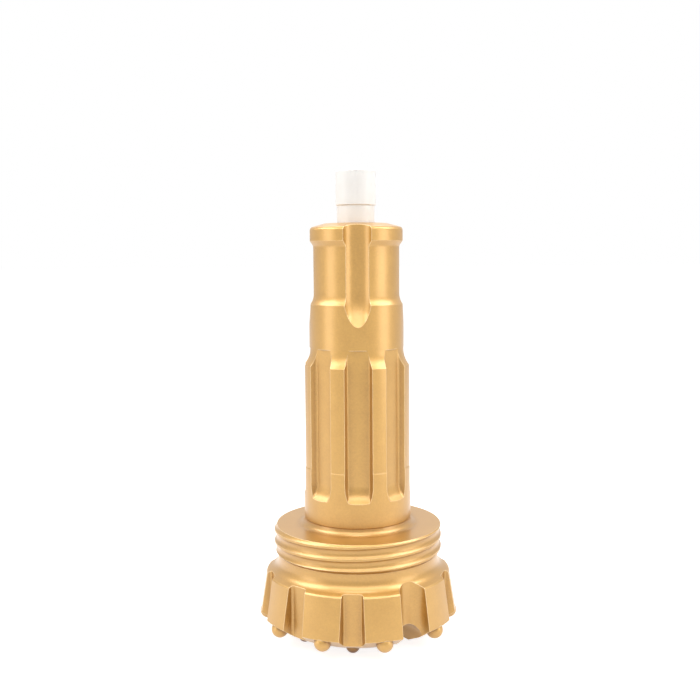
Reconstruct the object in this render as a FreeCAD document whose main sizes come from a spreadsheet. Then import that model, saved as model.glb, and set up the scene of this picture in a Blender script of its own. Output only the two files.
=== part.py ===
import FreeCAD, Part
import math
import os

import Sketcher
from FreeCAD import Placement, Rotation, Vector

# Down-the-hole drill bit, standing on its face buttons with the shank up.
# Lengths are in millimetres, angles in degrees, and the shank's axis is Z.
# Azimuths turn from +X towards +Y, and one air groove faces the front, -Y.

os.makedirs("parts", exist_ok=True)
doc = FreeCAD.newDocument("drill_bit")

SIZES = [
    # name, value, meaning
    ("gauge_diameter", 219.1, "hole that the gauge buttons cut"),
    ("gauge_relief", 1.55, "skirt edge inside the gauge"),
    ("gauge_bevel_angle", 35.0, "bevel under the gauge buttons, from the level"),
    ("gauge_bevel_width", 15.0, "bevel, measured radially"),
    ("face_slope", 25.0, "outer face, from the level"),
    ("face_ring_inner", 60.0, "inner radius of the flat ring of the face"),
    ("face_centre_slope", 8.0, "dropped centre of the face, from the level"),
    ("face_centre_flat", 6.0, "flat in the middle of the dropped centre"),
    ("face_ring_outer", 74.5, "outer radius of the flat ring of the face"),
    ("skirt_length", 44.3, "skirt edge up to the rim of the head"),
    ("rim_radius", 101.0, "rim at the back of the head"),
    ("rim_edge", 1.0, "edge broken at the rim"),
    ("flare_slope", 25.0, "back of the head, from the level"),
    ("flare_fillet", 13.0, "fillet from the back of the head to the relief"),
    ("relief_radius", 88.2, "plain relief under the shoulder thread"),
    ("shoulder_radius", 91.9, "crest of the shoulder thread"),
    ("shoulder_height", 121.7, "shoulder above the button tips"),
    ("shoulder_edge", 1.3, "chamfer on the shoulder's top edge"),
    ("thread_pitch", 12.7, "rise of the rope thread in one turn"),
    ("thread_depth", 2.7, "depth of the thread groove"),
    ("thread_round", 6.5, "radius of the thread groove's section"),
    ("thread_length", 27.6, "threaded band, down from the shoulder"),
    ("thread_start", 18.5, "groove centre below the shoulder, at +X"),
    ("land_radius", 58.5, "plain guide land"),
    ("land_length", 65.8, "shoulder up to the splines"),
    ("land_step", 0.5, "splines inside the guide land"),
    ("land_step_height", 1.0, "height of the chamfer between them"),
    ("root_fillet", 7.0, "fillet at the foot of the land"),
    ("spline_length", 110.0, "splines, up to their sloping tops"),
    ("spline_cove", 28.6, "radius of the sloping spline tops"),
    ("spline_count", 8, "drive splines"),
    ("valley_floor", 50.2, "floor of a spline valley, from the axis"),
    ("valley_half_width", 11.4, "half width at the foot of the walls"),
    ("valley_wall_angle", 28.7, "slope of a valley's walls"),
    ("valley_fillet", 2.8, "fillet at the foot of the walls"),
    ("valley_runout", 22.2, "radius of the lower run-out"),
    ("valley_runout_height", 50.8, "start of the run-out above the shoulder"),
    ("body_radius", 51.2, "body above the splines"),
    ("body_length", 65.5, "spline tops up to the neck"),
    ("neck_radius", 47.4, "neck for the retaining rings"),
    ("neck_length", 61.8, "body up to the collar's chamfer"),
    ("neck_cove", 18.3, "radius of the cove under the neck"),
    ("neck_fillet", 4.0, "fillet above the neck"),
    ("collar_radius", 51.5, "collar under the strike face"),
    ("collar_chamfer", 5.4, "height of the chamfer under the collar"),
    ("collar_height", 18.8, "collar edge up to the strike face"),
    ("strike_flat_radius", 34.0, "level middle of the strike face"),
    ("strike_slope", 15.0, "outer strike face, from the level"),
    ("strike_round", 4.0, "round on the strike face's edge"),
    ("groove_count", 4, "air grooves"),
    ("groove_radius", 17.2, "radius of an air groove's section"),
    ("groove_centre", 58.2, "centre of that section from the axis"),
    ("groove_elbow", 3.8, "start of the ramp above the body's top"),
    ("groove_ramp", 24.0, "slope of the ramp from the axis"),
    ("groove_bend", 40.0, "bend between the groove and its ramp"),
    ("bore_radius", 17.0, "central air bore"),
    ("bore_floor", 112.0, "bottom of the central bore above the tips"),
    ("bore_tip_radius", 3.0, "flat at the point of the bore"),
    ("valve_top_radius", 21.5, "wide top of the foot valve"),
    ("valve_waist_radius", 20.15, "rest of the foot valve"),
    ("valve_bore_radius", 16.0, "hole through the foot valve"),
    ("valve_top_length", 37.5, "wide top of the foot valve"),
    ("valve_waist_length", 18.5, "waist between it and the strike face"),
    ("valve_step", 1.2, "height of the step between them"),
    ("valve_seat_depth", 50.0, "foot valve inside the shank"),
    ("valve_rib_depth", 26.0, "snap rib under the strike face"),
    ("valve_rib_height", 1.0, "snap rib beyond the waist"),
    ("valve_rib_width", 6.0, "width of the snap rib"),
    ("valve_edge", 1.0, "chamfers on the foot valve"),
    ("valve_clearance", 0.02, "between the foot valve and its seat"),
    ("valve_mouth", 1.5, "chamfer at the mouth of the seat"),
    ("head_turn", 32.5, "first deep flute, from the front towards +X"),
    ("deep_flute_floor", 90.0, "floor of a deep flute, from the axis"),
    ("deep_flute_half_width", 14.3, "half width at the foot of its walls"),
    ("deep_flute_wall_angle", 9.0, "slope of its walls"),
    ("deep_flute_fillet", 13.0, "fillet at the foot of its walls"),
    ("flute_floor", 96.0, "floor of a shallow flute, from the axis"),
    ("flute_half_width", 9.8, "half width at the foot of its walls"),
    ("flute_wall_angle", 18.0, "slope of its walls"),
    ("flute_fillet", 3.0, "fillet at the foot of its walls"),
    ("flute_inner_turn", 16.3, "inner shallow flutes, each way from the side's middle"),
    ("flute_outer_turn", 52.4, "outer shallow flutes, each way from the side's middle"),
    ("channel_radius", 14.5, "roof of a face channel"),
    ("channel_height", 18.0, "centre of that roof above the tips"),
    ("channel_start", 34.0, "inner end of a face channel from the axis"),
    ("flushing_radius", 11.5, "flushing hole"),
    ("flushing_reach", 46.0, "centre of the hole's mouth from the axis"),
    ("flushing_mouth", 20.0, "centre of the hole's mouth above the tips"),
    ("gauge_button_radius", 9.0, "gauge button"),
    ("gauge_button_sink", 0.3, "dome centre under the bevel"),
    ("gauge_button_shank", 20.0, "gauge button below the dome"),
    ("face_button_radius", 7.5, "face button"),
    ("face_button_sink", 0.8, "dome centre under the face"),
    ("face_button_shank", 16.0, "face button below the dome"),
    ("outer_ring_radius", 69.5, "outer ring of face buttons"),
    ("outer_ring_first", 39.0, "first button of that ring from the deep flute"),
    ("outer_ring_pitch", 51.0, "angle between its buttons"),
    ("outer_ring_per_side", 3, "its buttons on each side"),
    ("middle_ring_radius", 48.0, "middle ring of face buttons"),
    ("middle_ring_first", 63.0, "first button of that ring from the deep flute"),
    ("middle_ring_pitch", 54.0, "angle between its buttons"),
    ("middle_ring_per_side", 2, "its buttons on each side"),
    ("inner_ring_radius", 22.0, "two face buttons near the axis"),
    ("inner_ring_first", 90.0, "angle of those from the deep flute"),
    ("button_edge", 1.2, "chamfer on a button's lower end"),
    ("socket_clearance", 0.02, "between a button and its socket"),
]


def make_sheet():
    """Write every driving size into the sheet, one row each."""
    table = doc.addObject("Spreadsheet::Sheet", "Sizes")
    for row, (name, value, meaning) in enumerate(SIZES, start=1):
        table.set(f"A{row}", meaning)
        table.set(f"B{row}", str(value))
        table.setAlias(f"B{row}", name)
    doc.recompute()
    return table


sheet = make_sheet()


def size(name):
    """The sheet's value as a number."""
    return float(sheet.get(name))


def value(expression):
    """The number that a formula over the sheet gives."""
    return float(sheet.evalExpression(expression))


# Heights and radii that follow from the driving sizes, as formulas.
FACE = "(Sizes.face_button_radius - Sizes.face_button_sink)"
SKIRT_RADIUS = "(Sizes.gauge_diameter / 2 - Sizes.gauge_relief)"
BEVEL_RADIUS = f"({SKIRT_RADIUS} - Sizes.gauge_bevel_width)"
BEVEL_LOW = f"({FACE} + ({BEVEL_RADIUS} - Sizes.face_ring_outer) * tan(Sizes.face_slope))"
SKIRT_LOW = f"({BEVEL_LOW} + Sizes.gauge_bevel_width * tan(Sizes.gauge_bevel_angle))"
CENTRE_TOP = f"({FACE} + (Sizes.face_ring_inner - Sizes.face_centre_flat) * tan(Sizes.face_centre_slope))"
RIM = f"({SKIRT_LOW} + Sizes.skirt_length)"
FLARE_RADIUS = "(Sizes.relief_radius + Sizes.flare_fillet * (1 - sin(Sizes.flare_slope)))"
FLARE_TOP = f"({RIM} + (Sizes.rim_radius - {FLARE_RADIUS}) * tan(Sizes.flare_slope))"
RELIEF_LOW = f"({FLARE_TOP} + Sizes.flare_fillet * cos(Sizes.flare_slope))"
SHOULDER = "Sizes.shoulder_height"
THREAD_LOW = f"({SHOULDER} - Sizes.thread_length)"
THREAD_END = f"({THREAD_LOW} - (Sizes.shoulder_radius - Sizes.relief_radius))"
SPLINE_RADIUS = "(Sizes.land_radius - Sizes.land_step)"
LAND_TOP = f"({SHOULDER} + Sizes.land_length)"
SPLINE_TOP = f"({LAND_TOP} + Sizes.spline_length)"
BODY_TOP = f"({SPLINE_TOP} + Sizes.body_length)"
NECK_TOP = f"({BODY_TOP} + Sizes.neck_length)"
COLLAR_LOW = f"({NECK_TOP} + Sizes.collar_chamfer)"
STRIKE = f"({COLLAR_LOW} + Sizes.collar_height)"
STRIKE_EDGE = f"({STRIKE} - (Sizes.collar_radius - Sizes.strike_flat_radius) * tan(Sizes.strike_slope))"
SEAT_RADIUS = "(Sizes.valve_waist_radius + Sizes.valve_clearance)"
SEAT_FLOOR = f"({STRIKE} - Sizes.valve_seat_depth)"
RUNOUT = f"({SHOULDER} + Sizes.valley_runout_height)"


def cove_rise(radius, inner, outer):
    """Height over which an arc that leaves the inner cylinder reaches the outer one."""
    return f"sqrt({radius} * {radius} - ({radius} - ({outer} - {inner})) ^ 2)"


SPLINE_COVE_TOP = f"({SPLINE_TOP} + {cove_rise('Sizes.spline_cove', 'Sizes.body_radius', SPLINE_RADIUS)})"
NECK_LOW = f"({BODY_TOP} + {cove_rise('Sizes.neck_cove', 'Sizes.neck_radius', 'Sizes.body_radius')})"


def origin_item(body, role):
    """The body's own origin plane or axis with that role."""
    for item in body.Origin.OriginFeatures:
        if item.Role == role:
            return item
    raise ValueError(role)


def new_body(name):
    """An empty body whose label is the piece's name."""
    body = doc.addObject("PartDesign::Body", name)
    body.Label = name
    return body


def new_sketch(body, name, plane, azimuth="0", distance="0", height="0"):
    """A sketch on an origin plane, turned about Z and moved out and up by formulas."""
    sketch = body.newObject("Sketcher::SketchObject", name)
    sketch.AttachmentSupport = [(origin_item(body, plane), "")]
    sketch.MapMode = "FlatFace"
    if plane == "XY_Plane":
        turn_axis = Vector(0, 0, 1)
        shift = {"z": height}
    else:
        turn_axis = Vector(0, 1, 0)
        shift = {"x": f"{distance} * sin({azimuth})", "y": height, "z": f"{distance} * cos({azimuth})"}
    base = Vector(0, 0, 0)
    for axis, formula in shift.items():
        setattr(base, axis, value(formula))
    sketch.AttachmentOffset = Placement(base, Rotation(turn_axis, value(azimuth)))
    if azimuth != "0":
        sketch.setExpression("AttachmentOffset.Rotation.Angle", azimuth)
    for axis, formula in shift.items():
        if value(formula) != 0:
            sketch.setExpression(f"AttachmentOffset.Base.{axis}", formula)
    return sketch


def arc_centre(start, end, radius, turn):
    """Centre of the short arc from start to end; turn is +1 anticlockwise, -1 clockwise."""
    chord = end - start
    middle = (start + end) * 0.5
    rise = math.sqrt(radius ** 2 - (chord.Length / 2) ** 2)
    side = Vector(-chord.y, chord.x, 0).normalize()
    return middle + side * (rise * turn)


def place_vertex(sketch, edge, end, formulas):
    """Hold one vertex at its two formulas, measured from the sketch's origin."""
    for kind, axis, formula in (("DistanceX", -2, formulas[0]), ("DistanceY", -1, formulas[1])):
        if formula == "0":
            sketch.addConstraint(Sketcher.Constraint("PointOnObject", edge, end, axis))
            continue
        held = sketch.addConstraint(Sketcher.Constraint(kind, -1, 1, edge, end, value(formula)))
        sketch.setExpression(f"Constraints[{held}]", formula)


def draw_edge(sketch, start, corner):
    """Draw one edge from a point to a corner, and give its two ends in that order.

    The corner is (x, y) as formulas, reached by a line, or (x, y, radius, turn), reached
    by a short arc of that radius.
    """
    end = Vector(value(corner[0]), value(corner[1]), 0)
    if len(corner) == 2:
        edge = sketch.addGeometry(Part.LineSegment(start, end), False)
        return (edge, 1), (edge, 2)
    radius_formula, turn = corner[2], corner[3]
    radius = value(radius_formula)
    centre = arc_centre(start, end, radius, turn)
    first, last = (start, end) if turn > 0 else (end, start)
    angles = [math.atan2(point.y - centre.y, point.x - centre.x) for point in (first, last)]
    circle = Part.Circle(centre, Vector(0, 0, 1), radius)
    edge = sketch.addGeometry(Part.ArcOfCircle(circle, angles[0], angles[1]), False)
    held = sketch.addConstraint(Sketcher.Constraint("Radius", edge, radius))
    sketch.setExpression(f"Constraints[{held}]", radius_formula)
    return ((edge, 1), (edge, 2)) if turn > 0 else ((edge, 2), (edge, 1))


def draw_chain(sketch, corners):
    """Draw an open chain of edges from the first corner through the others."""
    last = Vector(value(corners[0][0]), value(corners[0][1]), 0)
    joint = None
    for corner in corners[1:]:
        start, end = draw_edge(sketch, last, corner)
        if joint is None:
            place_vertex(sketch, *start, corners[0][:2])
        else:
            sketch.addConstraint(Sketcher.Constraint("Coincident", *joint, *start))
        place_vertex(sketch, *end, corner[:2])
        joint = end
        last = Vector(value(corner[0]), value(corner[1]), 0)


def draw_outline(sketch, corners):
    """Draw a closed outline through the corners."""
    points = [Vector(value(corner[0]), value(corner[1]), 0) for corner in corners]
    ends = [draw_edge(sketch, points[index - 1], corner) for index, corner in enumerate(corners)]
    for index, corner in enumerate(corners):
        end = ends[index][1]
        following = ends[(index + 1) % len(corners)][0]
        sketch.addConstraint(Sketcher.Constraint("Coincident", *end, *following))
        place_vertex(sketch, *end, corner[:2])


def revolve(body, name, sketch):
    """Turn a half section about the shank's axis."""
    solid = body.newObject("PartDesign::Revolution", name)
    solid.Profile = sketch
    solid.ReferenceAxis = (sketch, ["V_Axis"])
    solid.Angle = 360
    doc.recompute()
    return solid


def cut_checked(body, feature):
    """Recompute and make sure that the feature took metal away."""
    before = feature.BaseFeature.Shape.Volume
    doc.recompute()
    if not feature.Shape.Volume < before - 0.1:
        raise RuntimeError(f"{feature.Name} cuts nothing")
    return feature


def pocket(body, name, sketch, length, reverse=False):
    """Cut a sketch straight in, against its normal unless reversed."""
    cut = body.newObject("PartDesign::Pocket", name)
    cut.Profile = sketch
    cut.Length = value(length)
    cut.setExpression("Length", length)
    cut.Reversed = reverse
    return cut_checked(body, cut)


def place_cutter(body, cutter, radial, azimuth, height, tilt):
    """Stand a cutter at a radius, azimuth and height, leaning outward by the tilt."""
    cutter.AttachmentSupport = [(origin_item(body, "XY_Plane"), "")]
    cutter.MapMode = "FlatFace"
    place = Placement(Vector(), Rotation(Vector(0, 0, 1), azimuth))
    place = place * Placement(Vector(radial, 0, height), Rotation(Vector(0, 1, 0), tilt))
    cutter.AttachmentOffset = place


def round_cut(body, name, radius, length, radial, azimuth, height, tilt=0.0):
    """Cut a round hole of a length up from that place, leaning by the tilt."""
    cutter = body.newObject("PartDesign::SubtractiveCylinder", name)
    cutter.Radius = value(radius)
    cutter.setExpression("Radius", radius)
    cutter.Height = value(length)
    cutter.setExpression("Height", length)
    place_cutter(body, cutter, radial, azimuth, height, tilt)
    return cut_checked(body, cutter)


def metal_cut(feature):
    """Volume that one cut takes from the body before it."""
    return feature.BaseFeature.Shape.Volume - feature.Shape.Volume


def repeat_round(body, name, features, count, shared=0.02):
    """Repeat the last cuts evenly round the axis.

    Each copy has to take as much metal as the first, apart from the shared part of it.
    """
    pattern = body.newObject("PartDesign::PolarPattern", name)
    pattern.Originals = features
    pattern.Axis = (origin_item(body, "Z_Axis"), [""])
    pattern.Angle = 360
    pattern.Occurrences = int(value(count))
    if count.startswith("Sizes."):
        pattern.setExpression("Occurrences", count)
    body.Tip = pattern
    doc.recompute()
    removed = features[-1].Shape.Volume - pattern.Shape.Volume
    expected = (int(value(count)) - 1) * sum(metal_cut(feature) for feature in features)
    if abs(removed - expected) > shared * expected:
        raise RuntimeError(f"{name} takes {removed:.0f} cubic mm, not {expected:.0f}")
    return pattern


def bit_section():
    """Corners of the blank's half section, from the foot of the bore round to its top."""
    groove_low = f"({STRIKE} - Sizes.valve_rib_depth - Sizes.valve_rib_width / 2)"
    groove_high = f"({STRIKE} - Sizes.valve_rib_depth + Sizes.valve_rib_width / 2)"
    groove_radius = f"({SEAT_RADIUS} + Sizes.valve_rib_height)"
    bore_tip = "(Sizes.bore_floor - (Sizes.bore_radius - Sizes.bore_tip_radius) * tan(30))"
    skirt_lean = f"(({SKIRT_RADIUS} - Sizes.rim_radius) / Sizes.skirt_length)"
    strike_trim = "(Sizes.strike_round * tan((90 - Sizes.strike_slope) / 2))"
    collar_angle = "atan((Sizes.collar_radius - Sizes.neck_radius) / Sizes.collar_chamfer)"
    neck_trim = f"(Sizes.neck_fillet * tan({collar_angle} / 2))"
    return [
        ("0", bore_tip),
        ("0", CENTRE_TOP),
        ("Sizes.face_centre_flat", CENTRE_TOP),
        ("Sizes.face_ring_inner", FACE),
        ("Sizes.face_ring_outer", FACE),
        (BEVEL_RADIUS, BEVEL_LOW),
        (SKIRT_RADIUS, SKIRT_LOW),
        (f"(Sizes.rim_radius + Sizes.rim_edge * {skirt_lean})", f"({RIM} - Sizes.rim_edge)"),
        ("(Sizes.rim_radius - Sizes.rim_edge)", f"({RIM} + Sizes.rim_edge * tan(Sizes.flare_slope))"),
        (FLARE_RADIUS, FLARE_TOP),
        ("Sizes.relief_radius", RELIEF_LOW, "Sizes.flare_fillet", -1),
        ("Sizes.relief_radius", THREAD_END),
        ("Sizes.shoulder_radius", THREAD_LOW),
        ("Sizes.shoulder_radius", f"({SHOULDER} - Sizes.shoulder_edge)"),
        ("(Sizes.shoulder_radius - Sizes.shoulder_edge)", SHOULDER),
        (f"({SPLINE_RADIUS} + Sizes.root_fillet)", SHOULDER),
        (SPLINE_RADIUS, f"({SHOULDER} + Sizes.root_fillet)", "Sizes.root_fillet", -1),
        ("Sizes.land_radius", f"({SHOULDER} + Sizes.root_fillet + Sizes.land_step_height)"),
        ("Sizes.land_radius", f"({LAND_TOP} - Sizes.land_step_height)"),
        (SPLINE_RADIUS, LAND_TOP),
        (SPLINE_RADIUS, SPLINE_TOP),
        ("Sizes.body_radius", SPLINE_COVE_TOP, "Sizes.spline_cove", -1),
        ("Sizes.body_radius", BODY_TOP),
        ("Sizes.neck_radius", NECK_LOW, "Sizes.neck_cove", -1),
        ("Sizes.neck_radius", f"({NECK_TOP} - {neck_trim})"),
        (
            f"(Sizes.neck_radius + {neck_trim} * sin({collar_angle}))",
            f"({NECK_TOP} + {neck_trim} * cos({collar_angle}))",
            "Sizes.neck_fillet",
            -1,
        ),
        ("Sizes.collar_radius", COLLAR_LOW),
        ("Sizes.collar_radius", f"({STRIKE_EDGE} - {strike_trim})"),
        (
            f"(Sizes.collar_radius - {strike_trim} * cos(Sizes.strike_slope))",
            f"({STRIKE_EDGE} + {strike_trim} * sin(Sizes.strike_slope))",
            "Sizes.strike_round",
            1,
        ),
        ("Sizes.strike_flat_radius", STRIKE),
        (f"({SEAT_RADIUS} + Sizes.valve_mouth)", STRIKE),
        (SEAT_RADIUS, f"({STRIKE} - Sizes.valve_mouth)"),
        (SEAT_RADIUS, f"({groove_high} + Sizes.valve_rib_height)"),
        (groove_radius, groove_high),
        (groove_radius, groove_low),
        (SEAT_RADIUS, f"({groove_low} - Sizes.valve_rib_height)"),
        (SEAT_RADIUS, SEAT_FLOOR),
        ("Sizes.bore_radius", SEAT_FLOOR),
        ("Sizes.bore_radius", "Sizes.bore_floor"),
        ("Sizes.bore_tip_radius", bore_tip),
    ]


def turn_blank(body):
    """The turned blank with its bore."""
    section = new_sketch(body, "blank_section", "XZ_Plane")
    draw_outline(section, bit_section())
    return revolve(body, "blank", section)


def cut_thread(body):
    """The coarse right-hand rope thread, cut down the shoulder as one helical groove."""
    crest = "Sizes.shoulder_radius"
    half_mouth = "sqrt(2 * Sizes.thread_round * Sizes.thread_depth - Sizes.thread_depth ^ 2)"
    outside = f"({crest} + Sizes.thread_depth)"
    turns = 4
    low = f"({SHOULDER} - Sizes.thread_start - {turns} / 2 * Sizes.thread_pitch)"
    section = new_sketch(body, "thread_section", "XZ_Plane")
    draw_outline(section, [
        (outside, f"({low} + {half_mouth})"),
        (crest, f"({low} + {half_mouth})"),
        (crest, f"({low} - {half_mouth})", "Sizes.thread_round", 1),
        (outside, f"({low} - {half_mouth})"),
    ])
    thread = body.newObject("PartDesign::SubtractiveHelix", "thread_groove")
    thread.Profile = section
    thread.ReferenceAxis = (section, ["V_Axis"])
    thread.Mode = "pitch-turns-angle"
    thread.Pitch = size("thread_pitch")
    thread.setExpression("Pitch", "Sizes.thread_pitch")
    thread.Turns = turns
    thread.LeftHanded = False
    body.Tip = thread
    return cut_checked(body, thread)


def cut_air_grooves(body):
    """Round-bottomed grooves down the shank that bend and ramp out into the body."""
    centre = "Sizes.groove_centre"
    slope = "Sizes.groove_ramp"
    start = f"({STRIKE} + Sizes.groove_radius)"
    trim = f"(Sizes.groove_bend * tan({slope} / 2))"
    elbow = f"({BODY_TOP} + Sizes.groove_elbow)"
    reach = "(4 * Sizes.groove_radius)"
    path = new_sketch(body, "air_path", "XZ_Plane")
    points = [
        (centre, start),
        (centre, f"({elbow} + {trim})"),
        (f"({centre} + {trim} * sin({slope}))", f"({elbow} - {trim} * cos({slope}))", "Sizes.groove_bend", 1),
        (f"({centre} + {reach} * sin({slope}))", f"({elbow} - {reach} * cos({slope}))"),
    ]
    draw_chain(path, points)
    section = new_sketch(body, "air_section", "XY_Plane", height=start)
    circle = Part.Circle(Vector(size("groove_centre"), 0, 0), Vector(0, 0, 1), size("groove_radius"))
    ring = section.addGeometry(circle, False)
    radius = section.addConstraint(Sketcher.Constraint("Radius", ring, size("groove_radius")))
    section.setExpression(f"Constraints[{radius}]", "Sizes.groove_radius")
    place_vertex(section, ring, 3, (centre, "0"))
    doc.recompute()
    groove = body.newObject("PartDesign::SubtractivePipe", "air_groove")
    groove.Profile = section
    groove.Spine = path
    cut_checked(body, groove)
    return repeat_round(body, "air_grooves", [groove], "Sizes.groove_count")


def cut_spline_valleys(body):
    """Valleys between the drive splines, with a cutter's round run-out at the lower end."""
    floor = "Sizes.valley_floor"
    foot = "Sizes.valley_half_width"
    slope = "Sizes.valley_wall_angle"
    trim = f"(Sizes.valley_fillet * tan((90 - {slope}) / 2))"
    depth = f"({SPLINE_RADIUS} - {floor} + Sizes.root_fillet)"
    wall_x = f"({floor} + {trim} * cos({slope}))"
    wall_y = f"({foot} + {trim} * sin({slope}))"
    floor_y = f"({foot} - {trim})"
    outer_x = f"({floor} + {depth})"
    outer_y = f"({foot} + {depth} * tan({slope}))"
    section = new_sketch(body, "valley_section", "XY_Plane", height=RUNOUT)
    draw_outline(section, [
        (outer_x, f"-{outer_y}"),
        (outer_x, outer_y),
        (wall_x, wall_y),
        (floor, floor_y, "Sizes.valley_fillet", 1),
        (floor, f"-{floor_y}"),
        (wall_x, f"-{wall_y}", "Sizes.valley_fillet", 1),
    ])
    cutter_axis = value(f"{floor} + Sizes.valley_runout")
    line = Part.LineSegment(Vector(cutter_axis, -1, 0), Vector(cutter_axis, 1, 0))
    axis = section.addGeometry(line, True)
    section.addConstraint(Sketcher.Constraint("Symmetric", axis, 1, axis, 2, -1))
    reach = section.addConstraint(Sketcher.Constraint("DistanceX", -1, 1, axis, 1, cutter_axis))
    section.setExpression(f"Constraints[{reach}]", f"{floor} + Sizes.valley_runout")
    doc.recompute()
    length = f"{SPLINE_COVE_TOP} - {RUNOUT}"
    valley = pocket(body, "spline_valley", section, length, reverse=True)
    runout = body.newObject("PartDesign::Groove", "valley_runout")
    runout.Profile = section
    runout.ReferenceAxis = (section, ["Axis0"])
    runout.Angle = 360
    cut_checked(body, runout)
    return repeat_round(body, "spline_valleys", [valley, runout], "Sizes.spline_count")


HEAD_AZIMUTH = "(Sizes.head_turn - 90)"


def flute_turns():
    """Turns of one side's shallow flutes from the deep flute before them, as formulas."""
    outer = "Sizes.flute_outer_turn"
    inner = "Sizes.flute_inner_turn"
    return [f"(90 - {outer})", f"(90 - {inner})", f"(90 + {inner})", f"(90 + {outer})"]


def flute(body, family, name, azimuth):
    """A flute down the head, open at the skirt, with sloping walls and filleted corners."""
    floor = f"Sizes.{family}_floor"
    foot = f"Sizes.{family}_half_width"
    slope = f"Sizes.{family}_wall_angle"
    fillet = f"Sizes.{family}_fillet"
    trim = f"({fillet} * tan((90 - {slope}) / 2))"
    wall_x = f"({floor} + {trim} * cos({slope}))"
    wall_y = f"({foot} + {trim} * sin({slope}))"
    floor_y = f"({foot} - {trim})"
    outer_x = f"({SKIRT_RADIUS} + {foot})"
    outer_y = f"({foot} + ({outer_x} - {floor}) * tan({slope}))"
    section = new_sketch(body, f"{name}_section", "XY_Plane", azimuth=azimuth, height=RELIEF_LOW)
    draw_outline(section, [
        (outer_x, f"-{outer_y}"),
        (outer_x, outer_y),
        (wall_x, wall_y),
        (floor, floor_y, fillet, 1),
        (floor, f"-{floor_y}"),
        (wall_x, f"-{wall_y}", fillet, 1),
    ])
    return pocket(body, name, section, RELIEF_LOW)


def cut_shallow_flutes(body):
    """The shallow flutes between the lands, on both sides of the head."""
    cuts = []
    for number, turn in enumerate(flute_turns(), start=1):
        cuts.append(flute(body, "flute", f"shallow_flute_{number}", f"({HEAD_AZIMUTH} + {turn})"))
    return repeat_round(body, "shallow_flutes", cuts, "2")


def cut_deep_flutes(body):
    """Two opposite deep flutes that carry the cuttings up past the head."""
    deep = flute(body, "deep_flute", "deep_flute", HEAD_AZIMUTH)
    return repeat_round(body, "deep_flutes", [deep], "2")


def cut_face_channels(body):
    """Arched channels that lead the flushing air across the face to the deep flutes."""
    radius = "Sizes.channel_radius"
    centre = "Sizes.channel_height"
    start = "Sizes.channel_start"
    section = new_sketch(body, "channel_section", "YZ_Plane", azimuth=HEAD_AZIMUTH, distance=start)
    draw_outline(section, [
        (radius, "0"),
        (radius, centre),
        ("0", f"({centre} + {radius})", radius, 1),
        (f"-{radius}", centre, radius, 1),
        (f"-{radius}", "0"),
    ])
    channel = pocket(body, "face_channel", section, SKIRT_RADIUS, reverse=True)
    return repeat_round(body, "face_channels", [channel], "2")


def cut_flushing_holes(body):
    """Drilled holes from the foot of the bore out into the roofs of the face channels."""
    drop = "(Sizes.bore_floor - Sizes.flushing_mouth)"
    lean = value(f"atan(Sizes.flushing_reach / {drop})")
    length = f"sqrt(Sizes.flushing_reach ^ 2 + {drop} ^ 2)"
    hole = round_cut(body, "flushing_hole", "Sizes.flushing_radius", length, 0, value(HEAD_AZIMUTH),
                     size("bore_floor"), 180 - lean)
    return repeat_round(body, "flushing_holes", [hole], "2", shared=0.15)


class Button:
    """A domed insert: where its dome is centred, how it leans and which family it is of."""

    def __init__(self, family, radial, azimuth, height, lean):
        self.family = family
        self.radial = radial
        self.azimuth = azimuth
        self.height = height
        self.lean = lean
        self.name = family

    def placement(self):
        """Frame with +Z from the dome's centre down the button's shank."""
        turn = Placement(Vector(), Rotation(Vector(0, 0, 1), self.azimuth))
        lean = Rotation(Vector(0, 1, 0), -self.lean)
        return turn * Placement(Vector(self.radial, 0, self.height), lean)


def both_sides(first, pitch, count):
    """Azimuths of evenly spaced buttons on one side of the head, then of those opposite."""
    start = value(HEAD_AZIMUTH) + first
    return [start + side + number * pitch for side in (0, 180) for number in range(count)]


def land_azimuths():
    """Azimuths of the lands, each midway between the flutes beside it."""
    turns = [0] + [value(turn) for turn in flute_turns()] + [180]
    middles = [(turn + following) / 2 for turn, following in zip(turns, turns[1:])]
    return [value(HEAD_AZIMUTH) + side + middle for side in (0, 180) for middle in middles]


def gauge_buttons():
    """The gauge buttons, one to each land, square to the bevel."""
    radius = size("gauge_button_radius")
    radial = size("gauge_diameter") / 2 - radius
    slope = size("gauge_bevel_angle")
    rise = math.tan(math.radians(slope))
    bevel = value(SKIRT_LOW) - (value(SKIRT_RADIUS) - radial) * rise
    height = bevel + size("gauge_button_sink") / math.cos(math.radians(slope))
    return [Button("gauge_button", radial, azimuth, height, slope) for azimuth in land_azimuths()]


def face_ring(ring, pitch, count, slope):
    """One ring of face buttons, square to the face where they stand."""
    radial = size(f"{ring}_radius")
    inside = max(size("face_ring_inner") - radial, 0)
    face = value(FACE) + inside * math.tan(math.radians(slope))
    height = face + size("face_button_sink") / math.cos(math.radians(slope))
    azimuths = both_sides(size(f"{ring}_first"), pitch, count)
    return [Button("face_button", radial, azimuth, height, -slope) for azimuth in azimuths]


def face_buttons():
    """The face buttons: the outer ring, the middle ring and the inner pair."""
    drop = size("face_centre_slope")
    outer = face_ring("outer_ring", size("outer_ring_pitch"), int(size("outer_ring_per_side")), 0)
    middle = face_ring("middle_ring", size("middle_ring_pitch"), int(size("middle_ring_per_side")), drop)
    inner = face_ring("inner_ring", 0, 1, drop)
    return outer + middle + inner


def named(buttons):
    """The same buttons, each with its family's name and its own number."""
    for number, button in enumerate(buttons, start=1):
        button.name = f"{button.family}_{number:02d}"
    return buttons


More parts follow.
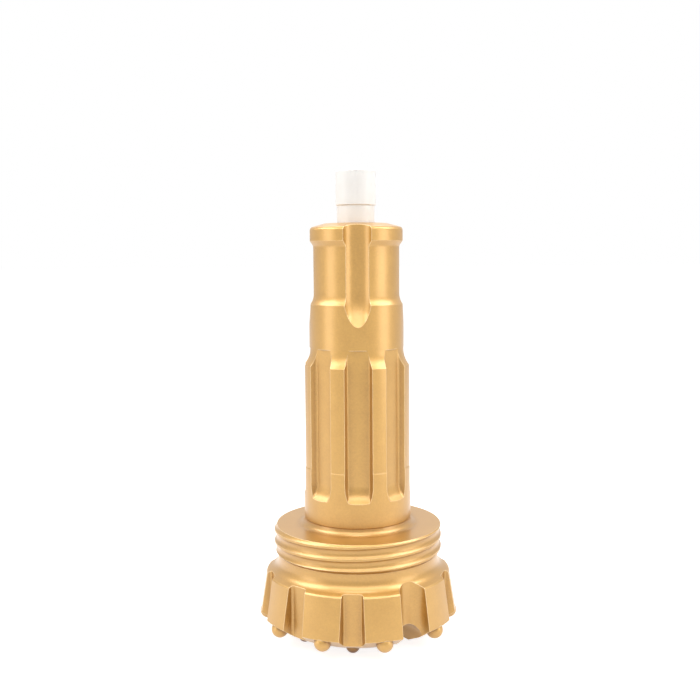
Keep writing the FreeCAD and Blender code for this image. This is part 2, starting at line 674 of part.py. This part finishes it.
def cut_sockets(body, buttons):
    """A blind socket for every button."""
    for button in buttons:
        radius = f"(Sizes.{button.family}_radius + Sizes.socket_clearance)"
        depth = f"(Sizes.{button.family}_shank + Sizes.{button.family}_radius)"
        cutter = body.newObject("PartDesign::SubtractiveCylinder", f"{button.name}_socket")
        cutter.Radius = value(radius)
        cutter.setExpression("Radius", radius)
        cutter.Height = value(depth)
        cutter.setExpression("Height", depth)
        cutter.AttachmentSupport = [(origin_item(body, "XY_Plane"), "")]
        cutter.MapMode = "FlatFace"
        mouth = Placement(Vector(0, 0, -size(f"{button.family}_radius")), Rotation())
        cutter.AttachmentOffset = button.placement() * mouth
        cut_checked(body, cutter)


def make_bit_body(buttons):
    """The one-piece steel bit: blank, sockets, head, grooves, splines and thread."""
    body = new_body("bit_body")
    turn_blank(body)
    cut_sockets(body, buttons)
    cut_shallow_flutes(body)
    cut_deep_flutes(body)
    cut_face_channels(body)
    cut_flushing_holes(body)
    cut_air_grooves(body)
    cut_spline_valleys(body)
    cut_thread(body)
    return body


def make_foot_valve():
    """The plastic tube in the top of the shank, with its snap rib."""
    body = new_body("foot_valve")
    top = f"({STRIKE} + Sizes.valve_waist_length + Sizes.valve_top_length)"
    step = f"({STRIKE} + Sizes.valve_waist_length)"
    rib_low = f"({STRIKE} - Sizes.valve_rib_depth - Sizes.valve_rib_width / 2)"
    rib_high = f"({STRIKE} - Sizes.valve_rib_depth + Sizes.valve_rib_width / 2)"
    rib_radius = "(Sizes.valve_waist_radius + Sizes.valve_rib_height)"
    edge = "Sizes.valve_edge"
    section = new_sketch(body, "valve_section", "XZ_Plane")
    draw_outline(section, [
        ("Sizes.valve_bore_radius", SEAT_FLOOR),
        (f"(Sizes.valve_waist_radius - {edge})", SEAT_FLOOR),
        ("Sizes.valve_waist_radius", f"({SEAT_FLOOR} + {edge})"),
        ("Sizes.valve_waist_radius", f"({rib_low} - Sizes.valve_rib_height)"),
        (rib_radius, rib_low),
        (rib_radius, rib_high),
        ("Sizes.valve_waist_radius", f"({rib_high} + Sizes.valve_rib_height)"),
        ("Sizes.valve_waist_radius", step),
        ("Sizes.valve_top_radius", f"({step} + Sizes.valve_step)"),
        ("Sizes.valve_top_radius", f"({top} - {edge})"),
        (f"(Sizes.valve_top_radius - {edge})", top),
        (f"(Sizes.valve_bore_radius + {edge})", top),
        ("Sizes.valve_bore_radius", f"({top} - {edge})"),
    ])
    revolve(body, "tube", section)
    return body


def make_button(button):
    """One domed insert, set in its socket."""
    body = new_body(button.name)
    radius = f"Sizes.{button.family}_radius"
    shank = f"Sizes.{button.family}_shank"
    section = new_sketch(body, f"{button.name}_section", "XZ_Plane")
    draw_outline(section, [
        ("0", f"-{radius}"),
        (radius, "0", radius, 1),
        (radius, f"({shank} - Sizes.button_edge)"),
        (f"({radius} - Sizes.button_edge)", shank),
        ("0", shank),
    ])
    revolve(body, f"{button.name}_insert", section)
    body.Placement = button.placement()
    return body


def check_and_export(pieces):
    """Refuse a failed or empty object, then write each piece to its own file."""
    doc.recompute()
    for item in doc.Objects:
        if "Invalid" in item.State or "Error" in item.State:
            raise RuntimeError(f"{item.Label} failed: {item.State}")
    for piece in pieces:
        if piece.Shape.isNull() or not piece.Shape.isValid():
            raise RuntimeError(f"{piece.Label} has no valid shape")
        if len(piece.Shape.Solids) != 1:
            raise RuntimeError(f"{piece.Label} is not one solid")
    for piece in pieces:
        piece.Shape.exportStep(f"parts/{piece.Label}.step")


all_buttons = named(gauge_buttons()) + named(face_buttons())
pieces = [make_bit_body(all_buttons), make_foot_valve()]
pieces += [make_button(button) for button in all_buttons]
check_and_export(pieces)
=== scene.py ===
"""A down-the-hole drill bit in satin gold paint, standing on its buttons on a pale floor."""

from __future__ import annotations

import logging
import math
from dataclasses import dataclass
from enum import Enum
from typing import Any

import bpy
import numpy as np
from mathutils import Matrix, Vector

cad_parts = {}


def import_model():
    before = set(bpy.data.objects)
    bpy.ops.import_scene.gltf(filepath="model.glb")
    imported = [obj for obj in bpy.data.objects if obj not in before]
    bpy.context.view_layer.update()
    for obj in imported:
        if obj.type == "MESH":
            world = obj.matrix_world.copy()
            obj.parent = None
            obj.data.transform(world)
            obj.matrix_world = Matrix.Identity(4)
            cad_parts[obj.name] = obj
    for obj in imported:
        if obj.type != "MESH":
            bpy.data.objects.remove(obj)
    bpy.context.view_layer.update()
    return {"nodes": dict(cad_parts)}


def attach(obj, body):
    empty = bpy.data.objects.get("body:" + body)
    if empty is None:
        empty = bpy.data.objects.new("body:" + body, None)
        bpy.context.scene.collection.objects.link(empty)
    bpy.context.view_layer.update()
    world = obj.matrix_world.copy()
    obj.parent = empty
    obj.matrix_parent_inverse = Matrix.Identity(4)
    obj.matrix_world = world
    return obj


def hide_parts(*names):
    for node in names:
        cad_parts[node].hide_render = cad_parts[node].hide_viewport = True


log = logging.getLogger("drill_bit")

MM = 0.001

# Waves that a wave texture draws along one unit at a scale of 1.
WAVES_PER_UNIT = 3.18

# Places of a colour Mix node's sockets, because their names repeat for its other kinds of data.
MIX_SHARE, MIX_FIRST, MIX_SECOND, MIX_RESULT = 0, 6, 7, 2

WHITE = "#FFFFFF"


class Piece(Enum):
    """The kinds of piece that the bit is made of, by how their CAD nodes' names begin."""

    BODY = "bit_body"
    VALVE = "foot_valve"
    GAUGE_BUTTON = "gauge_button"
    FACE_BUTTON = "face_button"


def linear(colour: str) -> tuple[float, float, float, float]:
    """Turn an sRGB hex colour into linear light.

    Args:
        colour: Hex text such as "#D9A55C".

    Returns:
        Red, green, blue and an alpha of 1, each channel by the sRGB curve.
    """
    channels = [int(colour[place:place + 2], 16) / 255 for place in (1, 3, 5)]
    curved = [c / 12.92 if c <= 0.04045 else ((c + 0.055) / 1.055) ** 2.4 for c in channels]
    return (curved[0], curved[1], curved[2], 1.0)


def add_node(tree: bpy.types.NodeTree, kind: str, links: dict[Any, Any] | None = None,
             **settings: Any) -> bpy.types.Node:
    """Add one shader node with its settings and what feeds it.

    Args:
        tree: The node tree.
        kind: Blender's name of the node type.
        links: For each input, by name or number, the socket that feeds it or a plain value.
        **settings: Attributes of the node itself.

    Returns:
        The new node.
    """
    node = tree.nodes.new(kind)
    for name, setting in settings.items():
        setattr(node, name, setting)
    for key, source in (links or {}).items():
        if isinstance(source, bpy.types.NodeSocket):
            tree.links.new(source, node.inputs[key])
        else:
            node.inputs[key].default_value = source
    return node


def per_metre(size_mm: float) -> float:
    """Scale of a noise on Object coordinates whose features are about this many mm wide."""
    return 1.0 / (size_mm * MM)


def waves_per_metre(spacing_mm: float) -> float:
    """Scale of a wave texture on Object coordinates whose waves are this many mm apart."""
    return per_metre(spacing_mm) / WAVES_PER_UNIT


def add_object(name: str, data: bpy.types.ID) -> bpy.types.Object:
    """Put a new object into the scene, at the origin."""
    added = bpy.data.objects.new(name, data)
    bpy.context.scene.collection.objects.link(added)
    return added


def dress(piece: bpy.types.Object, material: bpy.types.Material) -> None:
    """Give every face of a piece one material."""
    piece.data.materials.clear()
    piece.data.materials.append(material)


@dataclass(frozen=True)
class GoldPaint:
    """Satin gold paint, sprayed thinly over machined and shot-blasted steel.

    Metal flakes in it give soft gold reflections under a thin clear film. It lies a little
    thicker here and thinner there. A pale colour is mixed in along sharp edges as a painted
    highlight, and a dark colour is mixed into hollows as painted shade; the blasted grain's
    speckle is stronger in the hollows, where the steel under it was left rough.
    """

    name: str = "satin gold paint on steel"
    colour: str = "#C4974D"
    thin_colour: str = "#C0934A"
    # Painted shade: this dark colour is mixed into the hollows that ambient occlusion finds.
    painted_shade_colour: str = "#744516"
    # Painted highlight: this pale colour is mixed in along sharp edges.
    painted_highlight_colour: str = "#FFEBC2"
    rim_colour: str = "#CFB189"

    metallic: float = 0.6
    roughness: float = 0.38
    smoother: float = 0.04
    rougher: float = 0.06
    coat: float = 0.9
    coat_roughness: float = 0.28
    coat_ior: float = 1.6

    spray_mm: float = 16.0
    spray_detail: float = 4.0
    spray_low: float = 0.35
    spray_high: float = 0.65

    blast_mm: float = 1.9
    blast_depth_mm: float = 0.05
    blast_detail: float = 3.0
    blast_fineness: float = 0.6
    blast_low: float = 0.3
    blast_high: float = 0.7
    speckle: float = 0.22
    speckle_in_open: float = 0.25

    turning_mm: float = 2.2
    turning_depth_mm: float = 0.004
    turning_wobble: float = 0.6
    turning_detail: float = 2.0

    edge_radius_mm: float = 1.0
    edge_start: float = 0.99
    edge_full: float = 0.92
    # Share of the painted edge highlight where it is fullest.
    edge_highlight_share: float = 0.6
    hollow_reach_mm: float = 13.0
    hollow_closed: float = 0.3
    hollow_open: float = 0.95
    shape_rays: int = 8

    def material(self) -> bpy.types.Material:
        """Build the paint's material.

        Returns:
            A node material that reads Object coordinates and the shape's own edges and hollows.
        """
        material = bpy.data.materials.new(self.name)
        material.use_nodes = True
        tree = material.node_tree
        shader = tree.nodes["Principled BSDF"]
        place = add_node(tree, "ShaderNodeTexCoord").outputs["Object"]
        rounded = add_node(tree, "ShaderNodeBevel", {"Radius": self.edge_radius_mm * MM},
                           samples=self.shape_rays).outputs["Normal"]
        open_part = self.openness(tree)
        blast = add_node(tree, "ShaderNodeTexNoise",
                         {"Vector": place, "Scale": per_metre(self.blast_mm),
                          "Detail": self.blast_detail,
                          "Roughness": self.blast_fineness}).outputs["Fac"]
        rough = add_node(tree, "ShaderNodeMapRange",
                         {"Value": blast, "From Min": self.blast_low, "From Max": self.blast_high,
                          "To Min": self.roughness - self.smoother,
                          "To Max": self.roughness + self.rougher})
        tree.links.new(self.colouring(tree, place, blast, open_part, rounded),
                       shader.inputs["Base Color"])
        tree.links.new(rough.outputs["Result"], shader.inputs["Roughness"])
        tree.links.new(self.relief(tree, place, blast, rounded), shader.inputs["Normal"])
        shader.inputs["Metallic"].default_value = self.metallic
        shader.inputs["Specular Tint"].default_value = linear(self.rim_colour)
        shader.inputs["Coat Weight"].default_value = self.coat
        shader.inputs["Coat IOR"].default_value = self.coat_ior
        shader.inputs["Coat Roughness"].default_value = self.coat_roughness
        return material

    def openness(self, tree: bpy.types.NodeTree) -> bpy.types.NodeSocket:
        """How open the surface lies: 0 deep in a hollow, 1 on a plain face.

        Args:
            tree: The material's node tree.

        Returns:
            The socket that carries it.
        """
        hollow = add_node(tree, "ShaderNodeAmbientOcclusion",
                          {"Distance": self.hollow_reach_mm * MM}, samples=self.shape_rays)
        spread = add_node(tree, "ShaderNodeMapRange",
                          {"Value": hollow.outputs["AO"], "From Min": self.hollow_closed,
                           "From Max": self.hollow_open})
        return spread.outputs["Result"]

    def colouring(self, tree: bpy.types.NodeTree, place: bpy.types.NodeSocket,
                  blast: bpy.types.NodeSocket, open_part: bpy.types.NodeSocket,
                  rounded: bpy.types.NodeSocket) -> bpy.types.NodeSocket:
        """Mix the paint's colours: thin and thick spray, speckle, painted shade in hollows and a
        painted highlight on sharp edges.

        Args:
            tree: The material's node tree.
            place: Object coordinates.
            blast: The blasted grain, 0 to 1.
            open_part: How open the surface lies, 0 to 1.
            rounded: The normal rounded over sharp edges.

        Returns:
            The colour socket.
        """
        spray = add_node(tree, "ShaderNodeTexNoise",
                         {"Vector": place, "Scale": per_metre(self.spray_mm),
                          "Detail": self.spray_detail})
        thick = add_node(tree, "ShaderNodeMapRange",
                         {"Value": spray.outputs["Fac"], "From Min": self.spray_low,
                          "From Max": self.spray_high})
        sprayed = add_node(tree, "ShaderNodeMix",
                           {MIX_SHARE: thick.outputs["Result"], MIX_FIRST: linear(self.colour),
                            MIX_SECOND: linear(self.thin_colour)}, data_type="RGBA")
        # Painted shade: the dark colour fills the hollows, by ambient occlusion.
        shaded = add_node(tree, "ShaderNodeMix",
                          {MIX_SHARE: open_part, MIX_FIRST: linear(self.painted_shade_colour),
                           MIX_SECOND: sprayed.outputs[MIX_RESULT]}, data_type="RGBA")
        grit = add_node(tree, "ShaderNodeMapRange",
                        {"Value": blast, "From Min": self.blast_low, "From Max": self.blast_high,
                         "To Min": 1.0 - self.speckle, "To Max": 1.0 + self.speckle})
        calm = add_node(tree, "ShaderNodeMapRange",
                        {"Value": open_part, "To Min": 1.0, "To Max": self.speckle_in_open})
        speckled = add_node(tree, "ShaderNodeMix",
                            {MIX_SHARE: calm.outputs["Result"],
                             MIX_FIRST: shaded.outputs[MIX_RESULT],
                             MIX_SECOND: grit.outputs["Result"]},
                            data_type="RGBA", blend_type="MULTIPLY")
        shape = add_node(tree, "ShaderNodeNewGeometry")
        same = add_node(tree, "ShaderNodeVectorMath", {0: rounded, 1: shape.outputs["Normal"]},
                        operation="DOT_PRODUCT")
        # Painted highlight: a pale colour along sharp edges, where the rounded normal turns from
        # the face's own, kept out of hollows.
        edge = add_node(tree, "ShaderNodeMapRange",
                        {"Value": same.outputs["Value"], "From Min": self.edge_start,
                         "From Max": self.edge_full, "To Max": self.edge_highlight_share})
        pale = add_node(tree, "ShaderNodeMath", {0: edge.outputs["Result"], 1: open_part},
                        operation="MULTIPLY")
        edge_highlighted = add_node(tree, "ShaderNodeMix",
                        {MIX_SHARE: pale.outputs["Value"],
                         MIX_FIRST: speckled.outputs[MIX_RESULT],
                         MIX_SECOND: linear(self.painted_highlight_colour)}, data_type="RGBA")
        return edge_highlighted.outputs[MIX_RESULT]

    def relief(self, tree: bpy.types.NodeTree, place: bpy.types.NodeSocket,
               blast: bpy.types.NodeSocket,
               rounded: bpy.types.NodeSocket) -> bpy.types.NodeSocket:
        """Raise the blasted grain and the faint rings that the lathe left, over rounded edges.

        The rings are really finer than the picture shows, so they are drawn coarser.

        Args:
            tree: The material's node tree.
            place: Object coordinates.
            blast: The blasted grain, 0 to 1.
            rounded: The normal rounded over sharp edges.

        Returns:
            The normal socket.
        """
        rings = add_node(tree, "ShaderNodeTexWave",
                         {"Vector": place, "Scale": waves_per_metre(self.turning_mm),
                          "Distortion": self.turning_wobble, "Detail": self.turning_detail},
                         bands_direction="Z")
        turned = add_node(tree, "ShaderNodeBump",
                          {"Height": rings.outputs["Fac"], "Normal": rounded,
                           "Distance": self.turning_depth_mm * MM})
        blasted = add_node(tree, "ShaderNodeBump",
                           {"Height": blast, "Normal": turned.outputs["Normal"],
                            "Distance": self.blast_depth_mm * MM})
        return blasted.outputs["Normal"]


@dataclass(frozen=True)
class WhitePlastic:
    """White acetal, turned from bar: smooth, a little waxy, with soft highlights."""

    name: str = "white acetal"
    colour: str = "#F4F2EF"
    worn_colour: str = "#EDE9E3"
    roughness: float = 0.42
    cloud_mm: float = 18.0
    cloud_detail: float = 2.0
    turning_mm: float = 0.8
    turning_depth_mm: float = 0.004
    turning_wobble: float = 0.4

    def material(self) -> bpy.types.Material:
        """Build the plastic's material.

        Returns:
            A node material that reads Object coordinates only.
        """
        material = bpy.data.materials.new(self.name)
        material.use_nodes = True
        tree = material.node_tree
        shader = tree.nodes["Principled BSDF"]
        place = add_node(tree, "ShaderNodeTexCoord").outputs["Object"]
        cloud = add_node(tree, "ShaderNodeTexNoise",
                         {"Vector": place, "Scale": per_metre(self.cloud_mm),
                          "Detail": self.cloud_detail})
        tint = add_node(tree, "ShaderNodeMix",
                        {MIX_SHARE: cloud.outputs["Fac"], MIX_FIRST: linear(self.colour),
                         MIX_SECOND: linear(self.worn_colour)}, data_type="RGBA")
        turning = add_node(tree, "ShaderNodeTexWave",
                           {"Vector": place, "Scale": waves_per_metre(self.turning_mm),
                            "Distortion": self.turning_wobble}, bands_direction="Z")
        turned = add_node(tree, "ShaderNodeBump",
                          {"Height": turning.outputs["Fac"],
                           "Distance": self.turning_depth_mm * MM})
        tree.links.new(tint.outputs[MIX_RESULT], shader.inputs["Base Color"])
        tree.links.new(turned.outputs["Normal"], shader.inputs["Normal"])
        shader.inputs["Roughness"].default_value = self.roughness
        return material


@dataclass(frozen=True)
class SteelBody:
    """The bit's body with the flared back of its head whole under the rope thread.

    The thread's groove starts too low in the CAD solid and nicks the flare there. In this copy
    the groove's surface is brought out to the flare, so that the groove runs out above it.
    """

    name: str = "steel_body"
    cad_node: str = Piece.BODY.value
    slot: str = "body_paint"

    # The fillet between the back of the head and the relief above it.
    fillet_mm: float = 13.0
    fillet_top_mm: float = 84.38
    relief_radius_mm: float = 88.2

    # The nick's lowest height, its radii and its azimuths, counted from +X towards +Y.
    nick_low_mm: float = 72.45
    nick_inner_mm: float = 89.15
    nick_outer_mm: float = 94.6
    nick_start_deg: float = -1.0
    nick_end_deg: float = 95.0

    # How near a point has to lie to the nick's wall or to the fillet to count as on it.
    nick_slack_mm: float = 0.05
    nick_least_mm: float = 0.03
    fillet_slack_mm: float = 0.06
    fillet_margin_mm: float = 0.5
    merge_digits: int = 4

    @property
    def centre_radius_mm(self) -> float:
        """Radius at which the fillet's centre runs round the bit."""
        return self.relief_radius_mm + self.fillet_mm

    def flare_radius(self, height: np.ndarray) -> np.ndarray:
        """Radius of the flare's fillet, a hollow arc that ends upright at the relief.

        It is the centre's radius less the root of the arc's radius squared less the depth
        below the arc's top squared.

        Args:
            height: Heights in mm.

        Returns:
            One radius in mm per height.
        """
        below = np.clip(self.fillet_top_mm - height, 0.0, self.fillet_mm)
        return self.centre_radius_mm - np.sqrt(self.fillet_mm**2 - below**2)

    def flare_normal(self, points: np.ndarray) -> np.ndarray:
        """Unit normals of the fillet: from each point straight to the arc's centre.

        Args:
            points: Points on the fillet in mm.

        Returns:
            One unit vector per point.
        """
        radius = np.hypot(points[:, 0], points[:, 1])
        outward = self.centre_radius_mm - radius
        upward = self.fillet_top_mm - points[:, 2]
        normal = np.stack([points[:, 0] / radius * outward, points[:, 1] / radius * outward,
                           upward], axis=1)
        return normal / np.linalg.norm(normal, axis=1, keepdims=True)

    def filled(self, points: np.ndarray) -> tuple[np.ndarray, np.ndarray]:
        """Bring the nick's points out to the fillet.

        Each keeps its azimuth and its height, though none stays under the top edge of the
        nick's outer wall, and its radius becomes the fillet's at that height.

        Args:
            points: All points of the body in mm.

        Returns:
            The points, and which of them lie on the fillet over and beside the nick.
        """
        azimuth = np.degrees(np.arctan2(points[:, 1], points[:, 0]))
        radius = np.hypot(points[:, 0], points[:, 1])
        height = points[:, 2]
        beside = ((azimuth > self.nick_start_deg) & (azimuth < self.nick_end_deg)
                  & (height < self.fillet_top_mm))
        nick = (beside & (height > self.nick_low_mm) & (radius > self.nick_inner_mm)
                & (radius < self.nick_outer_mm + self.nick_slack_mm)
                & (radius < self.flare_radius(height) - self.nick_least_mm))
        wall_in = self.centre_radius_mm - self.nick_outer_mm
        wall_top = self.fillet_top_mm - math.sqrt(self.fillet_mm**2 - wall_in**2)
        height = np.where(nick, np.maximum(height, wall_top), height)
        grown = np.where(nick, self.flare_radius(height) / radius, 1.0)
        moved = np.stack([points[:, 0] * grown, points[:, 1] * grown, height], axis=1)
        off_fillet = np.abs(np.hypot(moved[:, 0], moved[:, 1]) - self.flare_radius(height))
        on_fillet = (beside & (height > wall_top - self.fillet_margin_mm)
                     & (off_fillet < self.fillet_slack_mm))
        return moved, on_fillet

    def merged(self, node: bpy.types.Object) -> tuple[np.ndarray, np.ndarray, np.ndarray]:
        """Read the CAD node's loose triangles and merge their corners.

        Args:
            node: The CAD node of the body.

        Returns:
            Points in mm, three point numbers per face, and the normal at each face's corners.
        """
        source = node.data
        place = np.array(node.matrix_world)
        loose = np.empty(len(source.vertices) * 3)
        source.vertices.foreach_get("co", loose)
        loose = (loose.reshape(-1, 3) @ place[:3, :3].T + place[:3, 3]) / MM
        _, kept, number = np.unique(np.round(loose, self.merge_digits), axis=0,
                                    return_index=True, return_inverse=True)
        corners_of = np.empty(len(source.loops), dtype=np.int64)
        source.loops.foreach_get("vertex_index", corners_of)
        faces = number.reshape(-1)[corners_of].reshape(-1, 3)
        normals = np.empty(len(source.loops) * 3)
        source.corner_normals.foreach_get("vector", normals)
        normals = (normals.reshape(-1, 3) @ place[:3, :3].T).reshape(-1, 3, 3)
        has_area = np.all(faces != np.roll(faces, 1, axis=1), axis=1)
        return loose[kept], faces[has_area], normals[has_area]

    def build(self, node: bpy.types.Object, finish: bpy.types.Material) -> bpy.types.Object:
        """Build and dress the piece, which rides on the root and stands for the CAD node.

        Args:
            node: The CAD node of the body.
            finish: The piece's material.

        Returns:
            The piece.
        """
        loose, faces, normals = self.merged(node)
        points, on_fillet = self.filled(loose)
        fillet_faces = on_fillet[faces].all(axis=1)
        normals[fillet_faces] = self.flare_normal(points)[faces[fillet_faces]]
        mesh = bpy.data.meshes.new(self.name)
        mesh.from_pydata((points * MM).tolist(), [], faces.tolist())
        mesh.polygons.foreach_set("use_smooth", np.ones(len(faces), dtype=bool))
        mesh.normals_split_custom_set(normals.reshape(-1, 3).tolist())
        piece = add_object(self.name, mesh)
        dress(piece, finish)
        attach(piece, "root")
        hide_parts(self.cad_node)
        return piece


@dataclass(frozen=True)
class SoftBox:
    """One soft box: its direction from the bit, counted from the camera's side, and its face.

    A brightness of 1 is a face that looks white.
    """

    name: str
    azimuth_deg: float
    elevation_deg: float
    width_m: float
    height_m: float
    brightness: float

    def hang(self, lit_point: Vector, distance_m: float) -> bpy.types.Object:
        """Hang the soft box so that it faces a point.

        Args:
            lit_point: The point, in metres.
            distance_m: How far the soft box hangs from it.

        Returns:
            The lamp object.
        """
        data = bpy.data.lights.new(self.name, "AREA")
        data.shape = "RECTANGLE"
        data.size, data.size_y = self.width_m, self.height_m
        data.energy = self.brightness * math.pi * self.width_m * self.height_m
        lamp = add_object(self.name, data)
        turn = math.radians(self.azimuth_deg)
        rise = math.radians(self.elevation_deg)
        outward = Vector((math.sin(turn) * math.cos(rise), -math.cos(turn) * math.cos(rise),
                          math.sin(rise)))
        lamp.location = lit_point + outward * distance_m
        lamp.rotation_mode = "QUATERNION"
        lamp.rotation_quaternion = (-outward).to_track_quat("-Z", "Y")
        return lamp


@dataclass(frozen=True)
class Studio:
    """Pale floor, white room, soft lamps and the photograph's camera."""

    boxes: tuple[SoftBox, ...] = (
        SoftBox("left high soft box", -84.0, 44.0, 1.4, 0.75, 5.4),
        SoftBox("right high soft box", 80.0, 44.0, 1.3, 0.75, 5.4),
        SoftBox("left low soft box", -70.0, 5.0, 0.75, 0.75, 2.0),
        SoftBox("right low soft box", 67.0, 5.0, 0.85, 0.75, 2.3),
        SoftBox("front soft box", 0.0, 48.0, 2.0, 0.7, 3.2),
        SoftBox("overhead soft box", 0.0, 89.0, 0.7, 0.7, 7.0),
        SoftBox("back soft box", 180.0, 50.0, 0.9, 0.7, 2.6),
    )
    lit_point_m: tuple[float, float, float] = (0.0, 0.0, 0.25)
    lamp_distance_m: float = 1.7
    room_light: float = 0.1

    camera_place_mm: tuple[float, float, float] = (-31.1, -1046.8, 415.9)
    azimuth_deg: float = 88.69
    drop_deg: float = 5.65
    roll_deg: float = -0.41
    focal_px: float = 966.1
    picture_px: float = 700.0
    sensor_mm: float = 36.0
    nearest_m: float = 0.05
    farthest_m: float = 200.0

    floor_colour: str = "#CDCDCD"
    floor_roughness: float = 0.9
    floor_half_m: float = 30.0
    near_floor_m: float = 0.6
    far_floor_m: float = 1.9
    near_lift: float = 0.85

    def camera(self) -> bpy.types.Object:
        """Place the camera where the photograph was taken from.

        Returns:
            The camera object, which is also the scene's camera.
        """
        data = bpy.data.cameras.new("camera")
        data.sensor_width = self.sensor_mm
        data.lens = self.focal_px / self.picture_px * self.sensor_mm
        data.clip_start = self.nearest_m
        data.clip_end = self.farthest_m
        camera = add_object("camera", data)
        azimuth = math.radians(self.azimuth_deg)
        drop = math.radians(self.drop_deg)
        aim = Vector((math.cos(azimuth) * math.cos(drop), math.sin(azimuth) * math.cos(drop),
                      -math.sin(drop)))
        upright = aim.to_track_quat("-Z", "Y").to_matrix().to_4x4()
        rolled = upright @ Matrix.Rotation(math.radians(self.roll_deg), 4, "Z")
        camera.matrix_world = Matrix.Translation(Vector(self.camera_place_mm) * MM) @ rolled
        bpy.context.scene.camera = camera
        return camera

    def seen(self, tree: bpy.types.NodeTree) -> bpy.types.NodeSocket:
        """Tell what looks at the stage from what it lights.

        Args:
            tree: The node tree.

        Returns:
            A socket that is 1 for the camera, gloss and glass, and 0 for plain light.
        """
        ray = add_node(tree, "ShaderNodeLightPath")
        direct = add_node(tree, "ShaderNodeMath",
                          {0: ray.outputs["Is Camera Ray"], 1: ray.outputs["Is Glossy Ray"]},
                          operation="MAXIMUM")
        either = add_node(tree, "ShaderNodeMath",
                          {0: direct.outputs["Value"], 1: ray.outputs["Is Transmission Ray"]},
                          operation="MAXIMUM")
        return either.outputs["Value"]

    def floor_material(self) -> bpy.types.Material:
        """Build the floor's material, which looks a little whiter away from the bit.

        Returns:
            A matt grey that keeps shadows, with a glow that only the picture sees.
        """
        material = bpy.data.materials.new("white floor")
        material.use_nodes = True
        tree = material.node_tree
        shader = tree.nodes["Principled BSDF"]
        shader.inputs["Base Color"].default_value = linear(self.floor_colour)
        shader.inputs["Roughness"].default_value = self.floor_roughness
        shader.inputs["Specular IOR Level"].default_value = 0.0
        place = add_node(tree, "ShaderNodeTexCoord").outputs["Object"]
        away = add_node(tree, "ShaderNodeVectorMath", {0: place}, operation="LENGTH")
        glow_here = add_node(tree, "ShaderNodeMapRange",
                             {"Value": away.outputs["Value"], "From Min": self.near_floor_m,
                              "From Max": self.far_floor_m, "To Min": self.near_lift},
                             interpolation_type="SMOOTHSTEP")
        lift = add_node(tree, "ShaderNodeMath",
                        {0: self.seen(tree), 1: glow_here.outputs["Result"]},
                        operation="MULTIPLY")
        glow = add_node(tree, "ShaderNodeEmission",
                        {"Color": linear(WHITE), "Strength": lift.outputs["Value"]})
        both = add_node(tree, "ShaderNodeAddShader",
                        {0: shader.outputs["BSDF"], 1: glow.outputs["Emission"]})
        tree.links.new(both.outputs["Shader"], tree.nodes["Material Output"].inputs["Surface"])
        return material

    def floor(self) -> bpy.types.Object:
        """Lay a white floor that keeps the bit's shadow.

        Returns:
            The floor.
        """
        half = self.floor_half_m
        mesh = bpy.data.meshes.new("floor")
        corner_points = [(-half, -half, 0), (half, -half, 0), (half, half, 0), (-half, half, 0)]
        mesh.from_pydata(corner_points, [], [(0, 1, 2, 3)])
        floor = add_object("floor", mesh)
        dress(floor, self.floor_material())
        return floor

    def world(self) -> None:
        """Light everything evenly from a white room, which the camera and gloss see as white."""
        world = bpy.data.worlds.new("white room")
        bpy.context.scene.world = world
        world.use_nodes = True
        tree = world.node_tree
        background = tree.nodes["Background"]
        background.inputs["Color"].default_value = linear(WHITE)
        strength = add_node(tree, "ShaderNodeMapRange",
                            {"Value": self.seen(tree), "To Min": self.room_light})
        tree.links.new(strength.outputs["Result"], background.inputs["Strength"])

    def build(self) -> None:
        """Set up the whole studio."""
        self.floor()
        self.world()
        for box in self.boxes:
            box.hang(Vector(self.lit_point_m), self.lamp_distance_m)
        self.camera()


def main() -> None:
    """Dress the bit and set up the studio."""
    logging.basicConfig(level=logging.INFO, format="%(message)s")
    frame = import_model()
    steel_paint = GoldPaint().material()
    carbide_paint = GoldPaint(name="satin gold paint on carbide", roughness=0.34,
                              blast_depth_mm=0.02, speckle=0.08,
                              turning_depth_mm=0.0).material()
    finishes = {
        Piece.BODY: steel_paint,
        Piece.VALVE: WhitePlastic().material(),
        Piece.GAUGE_BUTTON: carbide_paint,
        Piece.FACE_BUTTON: carbide_paint,
    }
    for piece, finish in finishes.items():
        for name, node in frame["nodes"].items():
            if name.startswith(piece.value):
                dress(node, finish)
                log.info("%s dressed in %s", name, finish.name)
    body = SteelBody().build(frame["nodes"][Piece.BODY.value], steel_paint)
    log.info("%s built with its flare whole", body.name)
    Studio().build()
    bpy.context.scene.view_settings.view_transform = "Standard"


if __name__ == "__main__":
    main()
